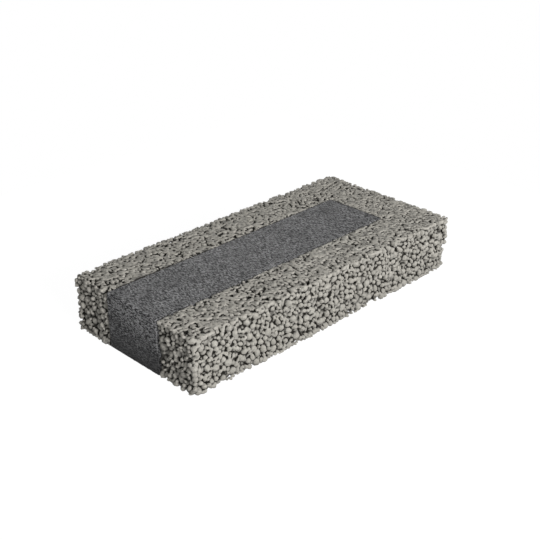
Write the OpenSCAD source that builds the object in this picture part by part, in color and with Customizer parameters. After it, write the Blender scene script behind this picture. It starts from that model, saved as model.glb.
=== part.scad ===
// Insulated corner block of lightweight aggregate concrete.
// Two long leaves and one closed end are cast as one piece round a slab of grey insulating foam.
// The foam is bare on both bed faces and at the open end, where the next block carries it on.
// Millimetres. +X runs from the open end to the closed end, +Z is up,
// and the origin is the middle of the lower bed face.

/* [Block] */
// Length, from the open end to the closed end
block_l = 590; // [300:1:900]
// Height, from bed face to bed face
block_h = 95; // [50:1:300]

/* [Concrete body] */
// Thickness of each of the two leaves
leaf_t = 82; // [40:1:200]
// Thickness of the closed end
end_t = 88; // [40:1:250]
// Rounding of the four upright corners
corner_r = 6; // [1:0.5:15]
// Rounding of the arrises round both bed faces
arris_r = 3; // [1:0.5:10]

/* [Foam core] */
// Width of the core, which sets the two leaves apart
core_w = 116; // [30:1:300]

/* [Hidden] */
$fn = 64;
block_w = 2 * leaf_t + core_w;
core_l = block_l - end_t;
// How far a cut runs past the face that it opens
cut_past = 1;
concrete_grey = [0.56, 0.54, 0.50];
foam_grey = [0.29, 0.29, 0.30];

// Rectangle about the origin with round corners
module rounded_rectangle(x, y, r) {
    square([x - 2 * r, y], center = true);
    square([x, y - 2 * r], center = true);
    for (side = [-1, 1], end = [-1, 1])
        translate([end * (x / 2 - r), side * (y / 2 - r)])
            circle(r = r);
}

// What the plan, the long section and the cross section of the mould have in common
module rounded_block() {
    intersection() {
        linear_extrude(block_h)
            rounded_rectangle(block_l, block_w, corner_r);
        translate([0, 0, block_h / 2])
            rotate([90, 0, 0])
                linear_extrude(block_w, center = true)
                    rounded_rectangle(block_l, block_h, arris_r);
        translate([0, 0, block_h / 2])
            rotate([90, 0, 90])
                linear_extrude(block_l, center = true)
                    rounded_rectangle(block_w, block_h, arris_r);
    }
}

// The space between the leaves, lengthened by past at the open end and at both bed faces
module core_space(past) {
    translate([-block_l / 2 - past, -core_w / 2, -past])
        cube([core_l + past, core_w, block_h + 2 * past]);
}

module concrete_body() {
    color(concrete_grey)
        difference() {
            rounded_block();
            core_space(cut_past);
        }
}

module insulation_core() {
    color(foam_grey)
        core_space(0);
}

concrete_body();
insulation_core();
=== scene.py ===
import math

import bmesh
import bpy
import numpy as np
import openvdb
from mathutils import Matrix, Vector, kdtree


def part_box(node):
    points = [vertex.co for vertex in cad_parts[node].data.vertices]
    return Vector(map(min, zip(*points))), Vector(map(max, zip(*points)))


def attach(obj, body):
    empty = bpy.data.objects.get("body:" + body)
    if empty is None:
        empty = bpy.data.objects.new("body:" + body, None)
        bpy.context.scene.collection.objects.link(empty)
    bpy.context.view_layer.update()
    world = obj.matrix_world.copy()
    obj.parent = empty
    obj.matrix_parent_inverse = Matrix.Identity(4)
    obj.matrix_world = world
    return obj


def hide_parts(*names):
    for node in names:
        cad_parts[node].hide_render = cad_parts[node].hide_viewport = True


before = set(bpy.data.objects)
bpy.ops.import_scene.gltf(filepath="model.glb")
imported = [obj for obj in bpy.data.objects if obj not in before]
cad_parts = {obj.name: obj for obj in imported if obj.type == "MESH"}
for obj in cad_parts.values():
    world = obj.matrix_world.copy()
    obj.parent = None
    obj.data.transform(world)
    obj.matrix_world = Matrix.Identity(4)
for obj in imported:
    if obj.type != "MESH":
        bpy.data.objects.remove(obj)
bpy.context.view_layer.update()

# Lengths are millimetres until a mesh is made
MM = 0.001
SEED = 7
# Least length that something is divided by
TINY = 1e-6

# Mould: the roundings of the upright corners and of the arrises
CORNER_R = 6.0
ARRIS_R = 3.0

# Granules of expanded clay in a film of cement: their radii, more of them near the lowest by this power
RADIUS_LOW = 2.6
RADIUS_SPREAD = 4.8
RADIUS_POWER = 2.4
# How many radii their mean footprint is taken from
RADIUS_SAMPLES = 99
# How often the granules of the outer layer cover the sides and the beds
SIDE_COVER = 1.05
BED_COVER = 1.0
# Depth of the layer under the faces that granules are thrown into
LAYER = 9.0
# Rounds in which the granules push each other apart, and how many pass between two searches for neighbours
SETTLING_ROUNDS = 60
ROUNDS_PER_SEARCH = 6
# Roundings that the granules themselves keep to, and the least that is left of one for their middles
KNOB_CORNER_R = 4.0
KNOB_ARRIS_R = 1.5
KNOB_LEAST_R = 0.5
# How far a granule stops short of a mould wall, below zero where it stands proud of it
WALL_SLACK = (-2.6, -0.2)
# The most that a side's granule lies behind the wall, and that any part of one stands proud of it
SIDE_SPREAD = 3.0
PROUD = 2.6
# Granules near an upright corner: how near, how large at most, and how much deeper they may lie
CORNER_REACH = 12.0
CORNER_RADIUS = 4.3
CORNER_SPREAD = 1.0
# How far under a bed face a granule's middle lies, as a share of its radius: on the bed, on its arris and,
# at least, on the sides
BED_SINK = 0.45
ARRIS_SINK = (0.55, 0.95)
SIDE_SINK = 0.7
# Distance from a side within which a bed's granules count as those of an arris
ARRIS_REACH = 8.0
# Share of the sides' granules that broke out
VACANT = 0.025
# How much a granule is squeezed along each axis
SQUEEZE = (0.84, 1.2)
# Granules put into the wide gaps of the beds: how many places are tried, how many neighbours are looked at,
# the least gap to them, the granules' radius and how deep their middles lie
PLUG_TRIES = 12_000
PLUG_NEIGHBOURS = 6
PLUG_GAP = 1.7
PLUG_RADIUS = 3.0
PLUG_DEPTH = 1.6
# Gap that two settled granules keep, below zero where they merge
GAP = (-0.5, 1.7)
# Granules with two faces within this reach grow by this much instead, so that none comes loose
EDGE_REACH = 11.0
EDGE_GROWTH = 0.1
# Unevenness of the granules: the height and the width of each kind of lump
LUMPS = ((0.4, 12.0), (0.9, 4.5), (0.5, 2.5))
# Cement paste that the press leaves between the granules of a bed face: how thick and how deep it is
PASTE = 0.9
PASTE_DEPTH = 4.0
# How much its thickness changes, and over what width
PASTE_CHANGE = 0.6
PASTE_WIDTH = 25.0
# Distance from the sides at which it begins, and over which it grows to its thickness
PASTE_START = 5.0
PASTE_GROWTH = 8.0
# Cement that joins the granules behind the faces: how thick, and the depths where it begins and is whole
BOND = 0.9
BOND_DEPTH = (3.0, 5.5)
# Small pits in a bed face: the width of their noise, the level from which it makes them and their steepness
PIT_WIDTH = 3.1
PIT_LEVEL = 0.23
PIT_STEEPNESS = 10.0
# Unevenness of a struck bed face: its height, and the share and the width of each kind of wave
BED_WAVE = 0.8
BED_WAVES = ((0.5, 9.0), (0.8, 3.2))
# Granules behind the outer layer, which close the gaps: depths, radii and how often they cover the faces
BACK_DEPTH = (9.5, 12.0)
BACK_RADIUS = (4.0, 5.0)
BACK_COVER = 1.8
# Sharpness of the joint between two granules, per millimetre
JOINT = 3.0
# Depth from which the body is solid, the height and the width of its waves, and a depth below all of them
SOLID_DEPTH = 7.0
SOLID_WAVE = 1.2
SOLID_WIDTH = 6.0
SURELY_SOLID = 9.0
# How much the joint between the leaves and the closed end leans towards the core's end
SEAM_LEAN = 0.05
# Gap between the concrete and the foam
CORE_GAP = 0.9
# Rounding where a mould plane cuts a granule
CUT_ROUNDING = 1.0
# Narrowest opening that air, and so a surface, runs through
NARROWEST_VOID = 0.8
# Depths under the sides, and under the beds, from which painted shade darkens a gap and at which the painted
# shade is whole
SIDE_SHADE = (4.2, 7.7)
BED_SHADE = (0.8, 2.5)
# Depth over which a bed face's own colours fade
BED_FADE = 2.0
# Cells to each side over which a hollow is told from a knob
HOLLOW_REACH = 3
# Size of the cells of the concrete's field, and how many next to its surface keep their value
CONCRETE_VOXEL = 1.0
BAND = 3.0
# Steps of a flood before its cells are counted again
FLOOD_STEPS = 8
# How far the box of a leaf or of the end reaches past it
PART_MARGIN = 10.0
# Most triangles of a leaf and of the closed end, under 200,000 for the body as a whole
LEAF_FACES = 69_000
END_FACES = 58_000
# A loose part of a mesh with fewer vertices is a scrap
LEAST_VERTICES = 100
# A shorter edge counts as none
LEAST_EDGE = 0.002

# Beads of the foam core: their size, how far each is shifted as a share of it, and how unevenly they are cut
BEAD = 3.6
BEAD_SHIFT = 0.4
BEAD_LIFT = 0.2
# Grooves between the beads
GROOVE_DEPTH = 0.5
GROOVE_WIDTH = 0.6
# How far the edges of the core are drawn in, and the steps of its grid
CORE_EDGE = 0.5
FOAM_STEP = 1.2

# Texture maps: how much the way that a face looks counts against its depth, and the least that is outward
FACING_WEIGHT = 6.0
LEAST_FACING = 0.05
# Cells and depth that tell what shows from what lies behind it, and the scale of what lies behind
CHART_CELL = 1.5
CHART_DEPTH = 2.5
HIDDEN_SCALE = 0.4
CHART_MARGIN = 1.5
# Least doubled area of a triangle, to divide by
LEAST_AREA = 1e-9
# Widths that are tried for a map, up to this many times the widest chart
SHELF_TRIES = 40
SHELF_WIDEST = 2.5

# Floor, in metres, with its colour and how bright the camera sees it
FLOOR_HALF = 0.7
FLOOR_ALBEDO = 0.1
FLOOR_GLOW = 0.97
# Light from all round
AMBIENT = 0.15
# Lamps: name, direction from the block, distance and size in metres, and power in watts
LAMPS = (
    ("key", (-0.31, -0.86, 0.43), 1.8, 0.48, 20.8),
    ("side_key", (0.55, -0.75, 0.3), 1.8, 0.48, 13.5),
    ("fill", (-0.94, -0.28, 0.24), 4.0, 1.1, 26.0),
    ("back", (0.62, 0.76, 0.12), 2.2, 0.35, 17.0),
)
LAMP_AIM = (0.0, 0.0, 0.05)

# View of the block, from the open end's corner: degrees, then millimetres
CAMERA_TURN = -44.94
CAMERA_RISE = 27.14
CAMERA_LENS = 66.7
CAMERA_SENSOR = 36.0
CAMERA_DISTANCE = 1674.1
CAMERA_AIM = (0.0, 5.9, 45.0)


def box_of(node):
    """Lowest and highest corner of a node, in millimetres."""
    low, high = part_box(node)
    return np.array(low) / MM, np.array(high) / MM


BLOCK_LOW, BLOCK_HIGH = box_of("concrete_body")
CORE_LOW, CORE_HIGH = box_of("insulation_core")
CORE_HALF = CORE_HIGH[1]
MIDDLE_Z = (BLOCK_LOW[2] + BLOCK_HIGH[2]) / 2
HALF_Z = (BLOCK_HIGH[2] - BLOCK_LOW[2]) / 2


def rounded_rectangle(u, v, half_u, half_v, r):
    """Signed distance to a rectangle about the origin with round corners."""
    du = np.abs(u) - (half_u - r)
    dv = np.abs(v) - (half_v - r)
    outside = np.hypot(np.maximum(du, 0), np.maximum(dv, 0))
    return outside + np.minimum(np.maximum(du, dv), 0) - r


def mould_distance(x, y, z):
    """Signed distance to the mould's faces, below zero inside the block."""
    half = (BLOCK_HIGH - BLOCK_LOW) / 2
    middle = (BLOCK_HIGH + BLOCK_LOW) / 2
    u, v, w = x - middle[0], y - middle[1], z - middle[2]
    plan = rounded_rectangle(u, v, half[0], half[1], CORNER_R)
    long_section = rounded_rectangle(u, w, half[0], half[2], ARRIS_R)
    cross_section = rounded_rectangle(v, w, half[1], half[2], ARRIS_R)
    return np.maximum(np.maximum(plan, long_section), cross_section)


def side_depth(x, y):
    """Depth behind the mould's sides, in plan."""
    return -rounded_rectangle(x, y, BLOCK_HIGH[0], BLOCK_HIGH[1], CORNER_R)


def slot_distance(x, y):
    """Signed distance to the core's space in plan, below zero inside it."""
    return np.maximum(np.abs(y) - CORE_HALF, x - CORE_HIGH[0])


def smooth_max(a, b, rounding):
    """The larger of two fields, with their meeting line rounded."""
    share = np.clip(0.5 + 0.5 * (a - b) / rounding, 0, 1)
    return b + (a - b) * share + rounding * share * (1 - share)


def value_noise(shape, period, rng):
    """Smooth random field between -1 and 1 over a grid, with lumps of about period cells."""
    field = rng.uniform(-1, 1, [int(n / period) + 2 for n in shape]).astype(np.float32)
    for axis, n in enumerate(shape):
        at = np.arange(n) / period
        low = at.astype(int)
        t = at - low
        t = (t * t * (3 - 2 * t)).astype(np.float32)
        t = t.reshape([-1 if a == axis else 1 for a in range(3)])
        field = field.take(low, axis) * (1 - t) + field.take(low + 1, axis) * t
    return field


# Packing of the granules


def near_pairs(points, reach):
    """Indices of every two points that lie within reach of each other."""
    tree = tree_of(points)
    pairs = [(i, j) for i, p in enumerate(points) for _, j, _ in tree.find_range(p, reach) if j > i]
    return np.array(pairs).T


def tree_of(points):
    """Points put in order, to find those near a place."""
    tree = kdtree.KDTree(len(points))
    for i, p in enumerate(points):
        tree.insert(p, i)
    tree.balance()
    return tree


def side_inset(points, radii, slack):
    """How far in from the mould's sides the granules' middles stay, which is more next to the beds."""
    lack = np.clip(KNOB_ARRIS_R - bed_depth(points[:, 2]), 0, KNOB_ARRIS_R)
    return radii + slack + KNOB_ARRIS_R - np.sqrt(KNOB_ARRIS_R**2 - lack**2)


def bed_depth(z):
    """Depth under the nearer bed face."""
    return HALF_Z - np.abs(z - MIDDLE_Z)


def hold_in_plan(points, inset):
    """Moves granules in from the mould's sides and round its upright corners."""
    room = np.maximum(KNOB_CORNER_R - inset, KNOB_LEAST_R)[:, None]
    flat = BLOCK_HIGH[:2] - inset[:, None] - room
    past = np.minimum(np.abs(points[:, :2]) - flat, room)
    reach = np.linalg.norm(np.maximum(past, 0), axis=1, keepdims=True)
    pull = np.minimum(1, room / np.maximum(reach, TINY))
    past = np.where(past > 0, past * pull, past)
    points[:, :2] = np.sign(points[:, :2]) * (past + flat)
    return points


def hold_from_core(points, radii):
    """Moves granules out of the core's space."""
    past_side = CORE_HALF + radii - np.abs(points[:, 1])
    past_end = CORE_HIGH[0] + radii - points[:, 0]
    inside = (past_side > 0) & (past_end > 0)
    by_side = inside & (past_side <= past_end)
    by_end = inside & (past_side > past_end)
    points[by_side, 1] += np.sign(points[by_side, 1]) * past_side[by_side]
    points[by_end, 0] += past_end[by_end]
    return points


def hold_near_sides(points, radii, at_bed):
    """Moves granules of the sides out to the layer that they belong to."""
    depth = BLOCK_HIGH[:2] - np.abs(points[:, :2])
    nearest = depth.argmin(1)
    every = np.arange(len(points))
    too_deep = np.where(at_bed, 0, np.maximum(depth.min(1) - radii - SIDE_SPREAD, 0))
    points[every, nearest] += np.sign(points[every, nearest]) * too_deep
    return points


def in_layer(points, least, most):
    """Which points lie in the concrete between two depths under the faces."""
    depth = np.minimum(points - BLOCK_LOW, BLOCK_HIGH - points).min(1)
    return (slot_distance(points[:, 0], points[:, 1]) > 0) & (depth > least) & (depth < most)


def thrown_in(cover, depths, footprint, rng):
    """Points in the concrete between two depths, so many that footprints cover the faces so often."""
    volume = (BLOCK_HIGH - BLOCK_LOW).prod()
    count = int(cover * volume / (depths[1] - depths[0]) / footprint)
    points = rng.uniform(BLOCK_LOW, BLOCK_HIGH, (count, 3))
    return points[in_layer(points, *depths)]


def back_granules(rng):
    """Granules behind the outer layer, thrown in so closely that they leave no gaps."""
    points = thrown_in(BACK_COVER, BACK_DEPTH, math.pi * np.mean(BACK_RADIUS) ** 2, rng)
    return points, rng.uniform(*BACK_RADIUS, len(points))


def granule_radii(share):
    """Radii of granules by their rank among all, from zero to one."""
    return RADIUS_LOW + RADIUS_SPREAD * share**RADIUS_POWER


def pushed_apart(points, radii, pairs):
    """Moves every two granules that overlap out of each other."""
    a, b = pairs
    apart = points[a] - points[b]
    distance = np.maximum(np.linalg.norm(apart, axis=1), TINY)
    push = np.maximum(radii[a] + radii[b] - distance, 0) / 2
    apart *= (push / distance)[:, None]
    for axis in range(3):
        points[:, axis] += np.bincount(a, apart[:, axis], len(points))
        points[:, axis] -= np.bincount(b, apart[:, axis], len(points))
    return points


def pack_granules(rng):
    """Middles and radii of granules that were thrown behind the faces and have pushed each other apart."""
    footprint = math.pi * np.mean(granule_radii(np.linspace(0, 1, RADIUS_SAMPLES)) ** 2)
    points = thrown_in(max(SIDE_COVER, BED_COVER), (0, LAYER), footprint, rng)
    from_side = (BLOCK_HIGH[:2] - np.abs(points[:, :2])).min(1)
    at_bed = bed_depth(points[:, 2]) < from_side
    share = np.where(at_bed, BED_COVER, SIDE_COVER) / max(SIDE_COVER, BED_COVER)
    kept = rng.uniform(0, 1, len(points)) < share
    points, at_bed, from_side = points[kept], at_bed[kept], from_side[kept]
    radii = granule_radii(rng.uniform(0, 1, len(points)))
    slack = rng.uniform(*WALL_SLACK, len(points))
    upright = (BLOCK_HIGH[:2] - np.abs(points[:, :2])).max(1) < CORNER_REACH
    radii[upright] = np.minimum(radii[upright], CORNER_RADIUS)
    slack[upright] += rng.uniform(0, CORNER_SPREAD, upright.sum())
    sink = np.where(from_side < ARRIS_REACH, rng.uniform(*ARRIS_SINK, len(points)), BED_SINK)
    bed_z = MIDDLE_Z + np.sign(points[:, 2] - MIDDLE_Z) * (HALF_Z - sink * radii)
    side_z = HALF_Z - SIDE_SINK * radii
    for step in range(SETTLING_ROUNDS):
        points[:, 2] = np.clip(points[:, 2], MIDDLE_Z - side_z, MIDDLE_Z + side_z)
        points[at_bed, 2] = bed_z[at_bed]
        points = hold_from_core(points, radii)
        points = hold_near_sides(points, radii, at_bed)
        points = hold_in_plan(points, side_inset(points, radii, slack))
        if step % ROUNDS_PER_SEARCH == 0:
            pairs = near_pairs(points, 2 * granule_radii(1))
        points = pushed_apart(points, radii, pairs)
    points = hold_in_plan(points, side_inset(points, radii, slack))
    at_edge = np.sort(np.minimum(points - BLOCK_LOW, BLOCK_HIGH - points), 1)[:, 1] < EDGE_REACH
    kept = at_edge | at_bed | (rng.uniform(0, 1, len(points)) > VACANT)
    radii += np.where(at_edge, EDGE_GROWTH, -rng.uniform(*GAP, len(points)) / 2)
    return points[kept], radii[kept]


def plugged(points, radii, rng):
    """Adds granules where the packing left a wide gap in a bed face."""
    tree = tree_of(points)
    tries = rng.uniform(BLOCK_LOW + PLUG_RADIUS, BLOCK_HIGH - PLUG_RADIUS, (PLUG_TRIES, 3))
    depth = HALF_Z - PLUG_DEPTH
    tries[:, 2] = MIDDLE_Z + np.where(tries[:, 2] < MIDDLE_Z, -depth, depth)
    tries = tries[slot_distance(tries[:, 0], tries[:, 1]) > PLUG_RADIUS]
    plugs = []
    for p in tries:
        gap = min(away - radii[i] for _, i, away in tree.find_n(p, PLUG_NEIGHBOURS))
        if gap > PLUG_GAP and all(np.linalg.norm(p - q) > 2 * PLUG_RADIUS for q in plugs):
            plugs.append(p)
    if not plugs:
        return points, radii
    plug_radii = np.full(len(plugs), PLUG_RADIUS)
    return np.concatenate([points, plugs]), np.concatenate([radii, plug_radii])


# Fields on a grid, and the meshes made from them


class Grid:
    """Places of a box's cells."""

    def __init__(self, origin, shape, voxel):
        self.origin = origin
        self.shape = shape
        self.voxel = voxel
        self.axes = [(o + np.arange(n) * voxel).astype(np.float32) for o, n in zip(origin, shape)]
        self.x = self.axes[0][:, None, None]
        self.y = self.axes[1][None, :, None]
        self.z = self.axes[2][None, None, :]

    @classmethod
    def over(cls, low, high, voxel, margin=3):
        """The grid over a box, with some cells of margin."""
        shape = np.ceil((high - low) / voxel).astype(int) + 2 * margin + 1
        return cls(low - margin * voxel, tuple(shape), voxel)

    def around(self, middle, reach):
        """Slices of the cells within reach of a point, along each axis."""
        low = np.floor((middle - reach - self.origin) / self.voxel).astype(int)
        high = np.ceil((middle + reach - self.origin) / self.voxel).astype(int) + 1
        return tuple(slice(max(a, 0), b) for a, b in zip(low, high))

    def part(self, low, high):
        """The cells between two corners, as slices and as a grid of their own."""
        start = np.clip(np.floor((low - self.origin) / self.voxel).astype(int), 0, self.shape)
        stop = np.clip(np.ceil((high - self.origin) / self.voxel).astype(int) + 1, 0, self.shape)
        cells = tuple(slice(a, b) for a, b in zip(start, stop))
        return cells, Grid(self.origin + start * self.voxel, tuple(stop - start), self.voxel)


def joined_balls(grid, points, radii, squeeze, reach_past=3.0):
    """Signed distance to all balls, squeezed along the axes, flowing into each other where they touch."""
    total = np.full(grid.shape, math.exp(-JOINT * reach_past), np.float32)
    for p, r, s in zip(points, radii, squeeze):
        cells = grid.around(p, r + reach_past)
        dx, dy, dz = ((axis[c] - m) * k for axis, c, m, k in zip(grid.axes, cells, p, s))
        away = np.sqrt(dx[:, None, None] ** 2 + dy[None, :, None] ** 2 + dz[None, None, :] ** 2)
        total[cells] += np.exp(-JOINT * (away - r))
    return -np.log(total) / JOINT


def grown(cells):
    """A set of cells and their six neighbours."""
    wider = cells.copy()
    for axis in range(3):
        ahead = np.swapaxes(wider, 0, axis)
        before = np.swapaxes(cells, 0, axis)
        ahead[1:] |= before[:-1]
        ahead[:-1] |= before[1:]
    return wider


def flooded(start, open_cells):
    """Every open cell that open cells join to a start."""
    reached = start & open_cells
    known = 0
    while reached.sum() > known:
        known = reached.sum()
        for _ in range(FLOOD_STEPS):
            reached = grown(reached) & open_cells
    return reached


def drop_islands(field, core):
    """Clears what nothing solid joins to the core of the body."""
    solid = field < 0
    field[solid & ~flooded(core, solid)] = 1.0
    return field


def seal_hidden_voids(field, voxel):
    """Fills the air that no opening of some width joins to the outside."""
    air = field > NARROWEST_VOID / 2
    outside = np.zeros_like(air)
    for face in (0, -1):
        outside[face] = True
        outside[:, face] = True
        outside[:, :, face] = True
    reached = flooded(outside, air)
    rim = math.ceil(NARROWEST_VOID / 2 / voxel) + 1
    for _ in range(rim):
        reached = grown(reached)
    field[(field > 0) & ~reached] = -voxel / 2
    return field


def averaged(field, reach):
    """Mean of a field over a cube round each cell, reach cells to each side."""
    for axis in range(3):
        ends = [(reach + 1, reach) if a == axis else (0, 0) for a in range(3)]
        total = np.cumsum(np.pad(field, ends, "edge"), axis, dtype=np.float32)
        n = field.shape[axis]
        field = total.take(range(2 * reach + 1, n + 2 * reach + 1), axis) - total.take(range(n), axis)
        field /= 2 * reach + 1
    return field


def at_places(grid, field, places):
    """Values of a field in the cells that places lie in."""
    cells = np.rint((places - grid.origin) / grid.voxel).astype(int)
    cells = np.clip(cells, 0, np.array(grid.shape) - 1)
    return field[tuple(cells.T)]


def mesh_of(name, grid, field, most_faces):
    """A closed mesh on the zero of a field, thinned where the shape is plain."""
    surface = openvdb.FloatGrid(BAND)
    surface.copyFromArray(np.clip(field / grid.voxel, -BAND, BAND).astype(np.float32))
    points, quads = surface.convertToQuads(isovalue=0.0)
    points = (points * grid.voxel + grid.origin) * MM
    mesh = bpy.data.meshes.new(name)
    mesh.from_pydata(points, [], quads)
    mesh.validate()
    piece = bpy.data.objects.new(name, mesh)
    bpy.context.scene.collection.objects.link(piece)
    thin = piece.modifiers.new("thin", "DECIMATE")
    thin.ratio = min(1, most_faces / (2 * len(quads)))
    thin.use_collapse_triangulate = True
    thinned = piece.evaluated_get(bpy.context.evaluated_depsgraph_get())
    piece.data = bpy.data.meshes.new_from_object(thinned)
    piece.modifiers.clear()
    piece.data.name = name
    bpy.data.meshes.remove(mesh)
    drop_scraps(piece.data)
    piece.data.shade_smooth()
    return piece


def drop_scraps(mesh):
    """Takes out a mesh's faces without area and its small parts that nothing joins to the rest."""
    shaper = bmesh.new()
    shaper.from_mesh(mesh)
    bmesh.ops.dissolve_degenerate(shaper, dist=LEAST_EDGE * MM, edges=shaper.edges[:])
    bmesh.ops.triangulate(shaper, faces=shaper.faces[:])
    shaper.verts.index_update()
    seen = np.zeros(len(shaper.verts), bool)
    scraps = []
    for start in shaper.verts:
        if seen[start.index]:
            continue
        seen[start.index] = True
        part = [start]
        for vertex in part:
            for edge in vertex.link_edges:
                other = edge.other_vert(vertex)
                if not seen[other.index]:
                    seen[other.index] = True
                    part.append(other)
        if len(part) < LEAST_VERTICES:
            scraps += part
    bmesh.ops.delete(shaper, geom=scraps, context="VERTS")
    shaper.to_mesh(mesh)
    shaper.free()
    mesh.validate()


def vertices_of(piece):
    """Places of a mesh's vertices, in millimetres."""
    places = np.empty(len(piece.data.vertices) * 3, np.float32)
    piece.data.vertices.foreach_get("co", places)
    return places.reshape(-1, 3) / MM


def write_values(piece, name, values):
    """Stores one number on each vertex, for the material to read."""
    layer = piece.data.attributes.new(name, "FLOAT", "POINT")
    layer.data.foreach_set("value", np.ascontiguousarray(values, np.float32))


def nearest_of(points, places):
    """Index of the point that lies nearest to each place."""
    tree = tree_of(points)
    return np.array([tree.find(p)[1] for p in places])


# The two pieces


def concrete_field(grid, points, radii, rng):
    """Signed distance to the granules, struck flat on the beds, and the joint between leaves and end."""

    def noise(shape, width):
        return value_noise(shape, width / grid.voxel, rng)

    at_end = points[:, 0] > CORE_HIGH[0]
    squeeze = rng.uniform(*SQUEEZE, points.shape)
    leaves = joined_balls(grid, points[~at_end], radii[~at_end], squeeze[~at_end])
    end = joined_balls(grid, points[at_end], radii[at_end], squeeze[at_end])
    field = -np.log(np.exp(-JOINT * leaves) + np.exp(-JOINT * end)) / JOINT
    seam = (leaves - end) / 2 + SEAM_LEAN * (grid.x - CORE_HIGH[0])
    for height, width in LUMPS:
        field += height * noise(grid.shape, width)
    mould = mould_distance(grid.x, grid.y, grid.z)
    depth = bed_depth(grid.z)
    flat = (grid.shape[0], grid.shape[1], 1)
    from_side = side_depth(grid.x, grid.y)
    paste = PASTE * (1 + PASTE_CHANGE * noise(flat, PASTE_WIDTH))
    paste = paste * np.clip((from_side - PASTE_START) / PASTE_GROWTH, 0, 1)
    field -= paste * np.clip(1 - depth / PASTE_DEPTH, 0, 1)
    pits = PIT_STEEPNESS * (noise(grid.shape, PIT_WIDTH) - PIT_LEVEL) - depth
    field = smooth_max(field, pits, CUT_ROUNDING / 2)
    field -= BOND * np.interp(-mould, BOND_DEPTH, (0, 1)).astype(np.float32)
    field = np.minimum(field, mould + SOLID_DEPTH + SOLID_WAVE * noise(grid.shape, SOLID_WIDTH))
    wave = 1
    for share, width in BED_WAVES:
        wave = wave + share * noise(flat, width)
    field = smooth_max(field, BED_WAVE / 2 * wave - depth, CUT_ROUNDING)
    field = np.maximum(field, -from_side - PROUD)
    field = np.maximum(field, CORE_GAP - slot_distance(grid.x, grid.y))
    field = drop_islands(field, mould < -SURELY_SOLID)
    return seal_hidden_voids(field, grid.voxel), seam


def painted_gap_shade(places):
    """Painted shade for the gaps between the granules at each place, by its depth under the faces."""
    by_side = np.interp(side_depth(places[:, 0], places[:, 1]), SIDE_SHADE, (0, 1))
    by_bed = np.interp(bed_depth(places[:, 2]), BED_SHADE, (0, 1))
    return np.minimum(by_side, by_bed)


def make_concrete(rng):
    """The body: granules packed in the mould round the core's space, as two leaves and the closed end."""
    points, radii = plugged(*pack_granules(rng), rng)
    back_points, back_radii = back_granules(rng)
    points = np.concatenate([points, back_points])
    radii = np.concatenate([radii, back_radii])
    tints = rng.uniform(0, 1, len(points))
    grid = Grid.over(BLOCK_LOW, BLOCK_HIGH, CONCRETE_VOXEL)
    field, seam = concrete_field(grid, points, radii, rng)
    solid = (field < 0) | (slot_distance(grid.x, grid.y) < CORE_GAP)
    hollow = averaged(solid.astype(np.float32), HOLLOW_REACH)
    past = BLOCK_HIGH + PART_MARGIN
    leaf_x = CORE_HIGH[0] + PART_MARGIN
    leaf_y = CORE_HALF - PART_MARGIN
    end_x = CORE_HIGH[0] - PART_MARGIN
    parts = [
        ("concrete_near_leaf", -past, (leaf_x, -leaf_y, past[2]), LEAF_FACES),
        ("concrete_far_leaf", (-past[0], leaf_y, -past[2]), (leaf_x, past[1], past[2]), LEAF_FACES),
        ("concrete_closed_end", (end_x, -past[1], -past[2]), past, END_FACES),
    ]
    pieces = []
    for name, low, high, faces in parts:
        cells, box = grid.part(np.array(low), np.array(high))
        side = -1 if name == "concrete_closed_end" else 1
        piece = mesh_of(name, box, np.maximum(field[cells], side * seam[cells]), faces)
        places = vertices_of(piece)
        write_values(piece, "tint", tints[nearest_of(points, places)])
        write_values(piece, "hollow", at_places(grid, hollow, places))
        write_values(piece, "gap_shade", painted_gap_shade(places))
        write_values(piece, "bed", np.clip(1 - bed_depth(places[:, 2]) / BED_FADE, 0, 1))
        pieces.append(piece)
    return pieces


def grid_faces(number):
    """Four-sided faces over a sheet of numbered vertices."""
    corners = [number[:-1, :-1], number[1:, :-1], number[1:, 1:], number[:-1, 1:]]
    return np.stack(corners, -1).reshape(-1, 4).tolist()


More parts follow.
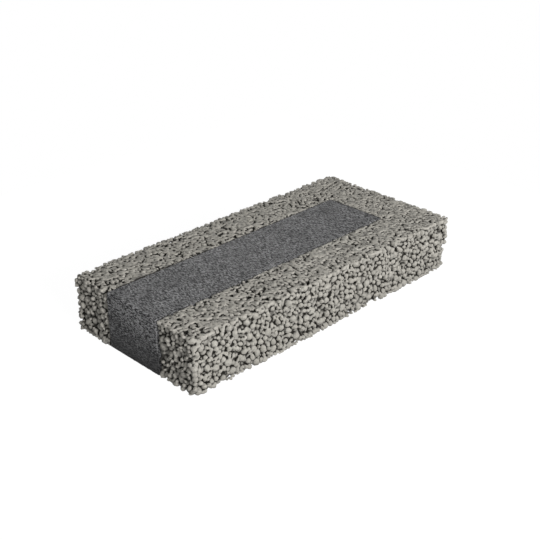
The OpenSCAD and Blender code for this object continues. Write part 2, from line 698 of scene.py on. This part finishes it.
def make_core(rng):
    """The foam slab: a fine grid on each bare face, with the grooves between its beads."""
    counts = np.ceil((CORE_HIGH - CORE_LOW) / FOAM_STEP).astype(int)
    nx, ny, nz = counts
    number = np.full(counts + 1, -1)
    bare = np.zeros(counts + 1, bool)
    bare[:, :, 0] = True
    bare[:, :, nz] = True
    bare[0] = True
    number[bare] = np.arange(bare.sum())
    lattice = np.argwhere(bare)
    places = CORE_LOW + lattice * (CORE_HIGH - CORE_LOW) / counts
    bead_axes = [np.arange(a - BEAD, b + BEAD, BEAD) for a, b in zip(CORE_LOW, CORE_HIGH)]
    beads = np.stack(np.meshgrid(*bead_axes, indexing="ij"), -1).reshape(-1, 3)
    beads += rng.uniform(-BEAD_SHIFT, BEAD_SHIFT, beads.shape) * BEAD
    tree = tree_of(beads)
    nearest = [tree.find_n(p, 2) for p in places]
    own = np.array([two[0][1] for two in nearest])
    to_wall = np.array([two[1][2] - two[0][2] for two in nearest]) / 2
    groove = np.exp(-((to_wall / GROOVE_WIDTH) ** 2))
    lift = rng.uniform(0, BEAD_LIFT, len(beads))[own]
    at_foot = (lattice[:, 2] == 0).astype(int)
    at_top = (lattice[:, 2] == nz).astype(int)
    inward = np.stack([lattice[:, 0] == 0, np.zeros(len(lattice)), at_foot - at_top], 1)
    at_edge = np.isin(lattice[:, 1], (0, ny)) | (np.abs(inward).sum(1) > 1)
    places = places + inward * (GROOVE_DEPTH * groove + lift + CORE_EDGE * at_edge)[:, None]
    faces = []
    for sheet in (number[:, :, nz], number[:, :, 0].T, number[0].T):
        faces += grid_faces(sheet)
    hidden = []
    for y, turn in ((0, 1), (ny, -1)):
        rim = [number[:, y, 0], number[::-1, y, nz], number[0, y, nz - 1:0:-1]]
        hidden.append(np.concatenate(rim)[::turn])
    hidden.append(np.concatenate([number[nx, :, 0], number[nx, ::-1, nz]]))
    mesh = bpy.data.meshes.new("foam_core")
    mesh.from_pydata(places * MM, [], faces + [list(h) for h in hidden])
    shaper = bmesh.new()
    shaper.from_mesh(mesh)
    bmesh.ops.triangulate(shaper, faces=shaper.faces[:])
    shaper.to_mesh(mesh)
    shaper.free()
    piece = bpy.data.objects.new("foam_core", mesh)
    bpy.context.scene.collection.objects.link(piece)
    mesh.shade_smooth()
    write_values(piece, "tint", rng.uniform(0, 1, len(beads))[own])
    write_values(piece, "groove", groove)
    return piece


# Texture maps


def lay_out(piece):
    """Gives a piece a texture map: for each side a chart of what shows and two small ones of the rest."""
    mesh = piece.data
    corners = np.empty(len(mesh.loops), np.int32)
    mesh.loops.foreach_get("vertex_index", corners)
    places = vertices_of(piece)
    triangles = places[corners].reshape(-1, 3, 3)
    middle = triangles.mean(1)
    normal = np.cross(triangles[:, 1] - triangles[:, 0], triangles[:, 2] - triangles[:, 0])
    normal /= np.maximum(np.linalg.norm(normal, axis=1, keepdims=True), LEAST_AREA)
    low, high = places.min(0), places.max(0)
    facing = np.concatenate([-normal, normal], 1)
    depth = np.concatenate([middle - low, high - middle], 1)
    side = (depth - FACING_WEIGHT * facing).argmin(1)
    charts = []
    for s in range(6):
        across = sorted({0, 1, 2} - {s % 3}, key=lambda axis: low[axis] - high[axis])
        cell = ((middle[:, across] - low[across]) / CHART_CELL).astype(int)
        cell = cell[:, 0] * (cell[:, 1].max() + 1) + cell[:, 1]
        front = (side == s) & (facing[:, s] > LEAST_FACING)
        foremost = np.full(cell.max() + 1, np.inf)
        np.minimum.at(foremost, cell[front], depth[front, s])
        shown = front & (depth[:, s] < foremost[cell] + CHART_DEPTH)
        behind = front & ~shown
        inward = (side == s) & ~front
        for members, scale in ((shown, 1.0), (behind, HIDDEN_SCALE), (inward, HIDDEN_SCALE)):
            charts.append(((high - low)[across] * scale + 2 * CHART_MARGIN, members, across, scale))
    spots, size = shelved([chart[0] for chart in charts])
    flat = np.zeros((len(triangles), 3, 2))
    for spot, (_, members, across, scale) in zip(spots, charts):
        flat[members] = (triangles[members][:, :, across] - low[across]) * scale + CHART_MARGIN + spot
    layer = mesh.uv_layers.new(name="OFBake")
    layer.data.foreach_set("uv", np.ascontiguousarray(flat / size, np.float32).ravel())


def shelved(sizes):
    """Places of rectangles on the shelves of the smallest square that was tried, and the square's side."""
    order = sorted(range(len(sizes)), key=lambda i: -sizes[i][1])
    widest = max(size[0] for size in sizes)
    tries = []
    for width in np.linspace(widest, SHELF_WIDEST * widest, SHELF_TRIES):
        shelves = []
        top = 0.0
        spots = [None] * len(sizes)
        for i in order:
            shelf = next((s for s in shelves if s[0] + sizes[i][0] <= width), None)
            if shelf is None:
                shelf = [0.0, top]
                shelves.append(shelf)
                top += sizes[i][1]
            spots[i] = np.array(shelf)
            shelf[0] += sizes[i][0]
        tries.append((max(width, top), spots))
    side, spots = min(tries, key=lambda t: t[0])
    return spots, side


# Materials


class Nodes:
    """A material whose nodes are added by short calls."""

    def __init__(self, name):
        self.material = bpy.data.materials.new(name)
        self.material.use_nodes = True
        self.tree = self.material.node_tree
        self.shader = self.tree.nodes["Principled BSDF"]

    def add(self, kind, **inputs):
        """A new node with some of its inputs fed, spaces in their names written as underscores."""
        node = self.tree.nodes.new(kind)
        for name, value in inputs.items():
            self.feed(node, name.replace("_", " "), value)
        return node

    def feed(self, node, name, value):
        """Links an output to an input, or sets the input to a value."""
        socket = node.inputs[name]
        if isinstance(value, bpy.types.NodeSocket):
            self.tree.links.new(value, socket)
        else:
            socket.default_value = value

    def place(self):
        return self.add("ShaderNodeTexCoord").outputs["Object"]

    def number(self, name):
        """A number that is stored on the mesh's vertices."""
        node = self.add("ShaderNodeAttribute")
        node.attribute_name = name
        return node.outputs["Fac"]

    def stretched(self, place, scale):
        return self.add("ShaderNodeMapping", Vector=place, Scale=scale).outputs["Vector"]

    def product(self, a, b):
        node = self.add("ShaderNodeMath")
        node.operation = "MULTIPLY"
        self.feed(node, 0, a)
        self.feed(node, 1, b)
        return node.outputs[0]

    def along(self, place, axis):
        return self.add("ShaderNodeSeparateXYZ", Vector=place).outputs[axis]

    def scaled(self, colour, share):
        node = self.add("ShaderNodeVectorMath")
        node.operation = "SCALE"
        self.feed(node, 0, colour)
        self.feed(node, "Scale", share)
        return node.outputs[0]

    def noise(self, place, size, detail=2.0):
        """Noise between zero and one, with lumps of a size in millimetres."""
        node = self.add("ShaderNodeTexNoise", Vector=place, Scale=1 / (size * MM), Detail=detail)
        return node.outputs["Fac"]

    def remap(self, value, low, high, to_low, to_high):
        """A value moved from one range to another, and held within it."""
        node = self.add("ShaderNodeMapRange", Value=value, From_Min=low, From_Max=high)
        self.feed(node, "To Min", to_low)
        self.feed(node, "To Max", to_high)
        return node.outputs["Result"]

    def mix(self, share, a, b):
        node = self.add("ShaderNodeMix")
        node.data_type = "RGBA"
        self.feed(node, 0, share)
        self.feed(node, 6, a)
        self.feed(node, 7, b)
        return node.outputs[2]

    def bump(self, height, distance, strength, before=None):
        """A normal bent by a height, which is a distance in millimetres at most."""
        node = self.add("ShaderNodeBump", Height=height, Distance=distance * MM, Strength=strength)
        if before is not None:
            self.feed(node, "Normal", before)
        return node.outputs["Normal"]


def concrete_material():
    """Granules in a film of cement, with specks, painted shade in the gaps, painted highlights on edges and
    knob tips, and painted shade darkening the foot.
    """
    m = Nodes("aggregate_concrete")
    place = m.place()
    light_granule = (0.47, 0.454, 0.414, 1)
    dark_granule = (0.36, 0.346, 0.313, 1)
    film = (0.22, 0.211, 0.19, 1)
    cream_and_highlight = (0.61, 0.583, 0.52, 1)
    crevice_shade = (0.022, 0.02, 0.017, 1)
    tint = m.mix(m.number("tint"), dark_granule, light_granule)
    mottle = m.remap(m.noise(place, 2.6, 2.0), 0.42, 0.6, 0.0, 0.55)
    colour = m.mix(mottle, tint, film)
    bed = m.number("bed")
    dark_speck = m.remap(m.noise(place, 2.0, 2.0), 0.47, 0.62, 0.0, 0.9)
    colour = m.mix(m.product(dark_speck, bed), colour, film)
    cream_speck = m.remap(m.noise(m.stretched(place, (1, 1, -1)), 2.3, 2.0), 0.54, 0.63, 0.0, 0.85)
    colour = m.mix(m.product(cream_speck, bed), colour, cream_and_highlight)
    hollow = m.number("hollow")
    # Painted highlight: convex edges and knob tips are lightened towards the pale colour, most on the beds
    edge = m.product(m.remap(hollow, 0.485, 0.41, 0.0, 0.75), m.remap(bed, 0.0, 1.0, 0.5, 1.0))
    colour = m.mix(edge, colour, cream_and_highlight)
    # Painted shade: hollow gaps, and gaps deep under the faces, are darkened almost to black
    colour = m.mix(m.remap(hollow, 0.5, 0.63, 0.0, 1.0), colour, crevice_shade)
    colour = m.mix(m.remap(m.number("gap_shade"), 0.0, 1.0, 0.0, 0.95), colour, crevice_shade)
    # Painted shade: the colour is darker towards the foot
    foot_shade = m.remap(m.along(place, "Z"), 0.0, 0.045, 0.86, 1.0)
    m.feed(m.shader, "Base Color", m.scaled(colour, foot_shade))
    grain = m.noise(place, 1.1, 3.0)
    m.feed(m.shader, "Roughness", m.remap(grain, 0.3, 0.7, 0.85, 0.98))
    lumps = m.bump(m.noise(place, 2.4, 1.0), 1.6, 0.85)
    m.feed(m.shader, "Normal", m.bump(grain, 0.9, 0.9, lumps))
    m.feed(m.shader, "Specular IOR Level", 0.2)
    return m.material


def foam_material():
    """Blackish beads under fine streaks, with painted shade in the grooves between them and painted shade
    darkening the foot of the open end.
    """
    m = Nodes("grey_foam")
    place = m.place()
    dark_bead = (0.08, 0.08, 0.082, 1)
    light_bead = (0.22, 0.22, 0.223, 1)
    dark_streak = (0.01, 0.01, 0.011, 1)
    light_streak = (0.5, 0.5, 0.505, 1)
    groove_shade = (0.04, 0.04, 0.041, 1)
    streak_share = 0.88
    end_x = CORE_LOW[0] * MM
    bead = m.mix(m.number("tint"), dark_bead, light_bead)
    streak = m.remap(m.noise(m.stretched(place, (1, 0.27, 1)), 1.25, 0.5), 0.45, 0.565, 0.0, 1.0)
    colour = m.mix(streak_share, bead, m.mix(streak, dark_streak, light_streak))
    clouds = m.remap(m.noise(place, 28.0, 3.0), 0.35, 0.65, 0.65, 1.07)
    colour = m.scaled(colour, clouds)
    # Painted shade: on the open end the colour darkens towards the foot, the light streaks less than the
    # rest
    foot_shade = m.remap(m.along(place, "Z"), 0.0, 0.085, 0.06, 1.1)
    foot = m.scaled(colour, m.product(foot_shade, m.remap(streak, 0.0, 1.0, 0.5, 1.4)))
    at_end = m.remap(m.along(place, "X"), end_x + 0.001, end_x + 0.005, 1.0, 0.0)
    colour = m.mix(at_end, colour, foot)
    # Painted shade: the grooves between the beads are darkened
    colour = m.mix(m.remap(m.number("groove"), 0.0, 1.0, 0.0, 0.55), colour, groove_shade)
    m.feed(m.shader, "Base Color", colour)
    grain = m.noise(place, 1.4, 3.0)
    m.feed(m.shader, "Roughness", m.remap(grain, 0.3, 0.7, 0.55, 0.75))
    m.feed(m.shader, "Normal", m.bump(grain, 0.4, 0.6))
    m.feed(m.shader, "Specular IOR Level", 0.15)
    return m.material


# Stage


def seen_directly(tree):
    """One for rays of the camera, of gloss and through glass, and zero for the rest."""
    path = tree.nodes.new("ShaderNodeLightPath")
    total = path.outputs["Is Camera Ray"]
    for name in ("Is Glossy Ray", "Is Transmission Ray"):
        larger = tree.nodes.new("ShaderNodeMath")
        larger.operation = "MAXIMUM"
        tree.links.new(total, larger.inputs[0])
        tree.links.new(path.outputs[name], larger.inputs[1])
        total = larger.outputs[0]
    return total


def make_floor():
    """A pale floor that the camera sees as white, with the block's shadow on it."""
    half = FLOOR_HALF
    z = BLOCK_LOW[2] * MM
    corners = [(-half, -half, z), (half, -half, z), (half, half, z), (-half, half, z)]
    mesh = bpy.data.meshes.new("floor")
    mesh.from_pydata(corners, [], [(0, 1, 2, 3)])
    floor = bpy.data.objects.new("floor", mesh)
    bpy.context.scene.collection.objects.link(floor)
    material = bpy.data.materials.new("pale_floor")
    material.use_nodes = True
    tree = material.node_tree
    shader = tree.nodes["Principled BSDF"]
    shader.inputs["Base Color"].default_value = (FLOOR_ALBEDO, FLOOR_ALBEDO, FLOOR_ALBEDO, 1)
    shader.inputs["Roughness"].default_value = 1.0
    shader.inputs["Specular IOR Level"].default_value = 0.0
    shader.inputs["Emission Color"].default_value = (1, 1, 1, 1)
    share = tree.nodes.new("ShaderNodeMath")
    share.operation = "MULTIPLY"
    share.inputs[1].default_value = FLOOR_GLOW
    tree.links.new(seen_directly(tree), share.inputs[0])
    tree.links.new(share.outputs[0], shader.inputs["Emission Strength"])
    mesh.materials.append(material)


def make_world():
    """Even light from all round, which the camera sees as white."""
    world = bpy.data.worlds.new("studio")
    bpy.context.scene.world = world
    world.use_nodes = True
    tree = world.node_tree
    light = tree.nodes["Background"]
    light.inputs["Color"].default_value = (1, 1, 1, 1)
    strength = tree.nodes.new("ShaderNodeMapRange")
    strength.inputs["To Min"].default_value = AMBIENT
    strength.inputs["To Max"].default_value = 1.0
    tree.links.new(seen_directly(tree), strength.inputs["Value"])
    tree.links.new(strength.outputs["Result"], light.inputs["Strength"])


def aim_at(thing, target):
    """Turns a lamp or the camera to look at a place."""
    thing.rotation_euler = (Vector(target) - thing.location).to_track_quat("-Z", "Y").to_euler()


def make_lamp(name, direction, distance, size, power):
    """A soft square lamp that looks at the block from a direction."""
    data = bpy.data.lights.new(name, "AREA")
    data.shape = "SQUARE"
    data.size = size
    data.energy = power
    lamp = bpy.data.objects.new(name, data)
    bpy.context.scene.collection.objects.link(lamp)
    lamp.location = Vector(direction).normalized() * distance
    aim_at(lamp, LAMP_AIM)


def make_camera():
    """The camera, turned and raised about the place that it looks at."""
    data = bpy.data.cameras.new("camera")
    data.lens = CAMERA_LENS
    data.sensor_width = CAMERA_SENSOR
    camera = bpy.data.objects.new("camera", data)
    bpy.context.scene.collection.objects.link(camera)
    turn, rise = math.radians(CAMERA_TURN), math.radians(CAMERA_RISE)
    back = Vector((math.sin(turn) * math.cos(rise), -math.cos(turn) * math.cos(rise), math.sin(rise)))
    aim = Vector(CAMERA_AIM) * MM
    camera.location = aim + back * CAMERA_DISTANCE * MM
    aim_at(camera, aim)
    bpy.context.scene.camera = camera


def finish_piece(piece, material, node):
    """Gives a piece its texture map and its material, hangs it under the root, and hides the node that it
    stands for.
    """
    lay_out(piece)
    piece.data.materials.append(material)
    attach(piece, "root")
    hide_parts(node)


rng = np.random.default_rng(SEED)
concrete = concrete_material()
for leaf_or_end in make_concrete(rng):
    finish_piece(leaf_or_end, concrete, "concrete_body")
finish_piece(make_core(rng), foam_material(), "insulation_core")
make_floor()
make_world()
for lamp in LAMPS:
    make_lamp(*lamp)
make_camera()
bpy.context.scene.view_settings.view_transform = "Standard"
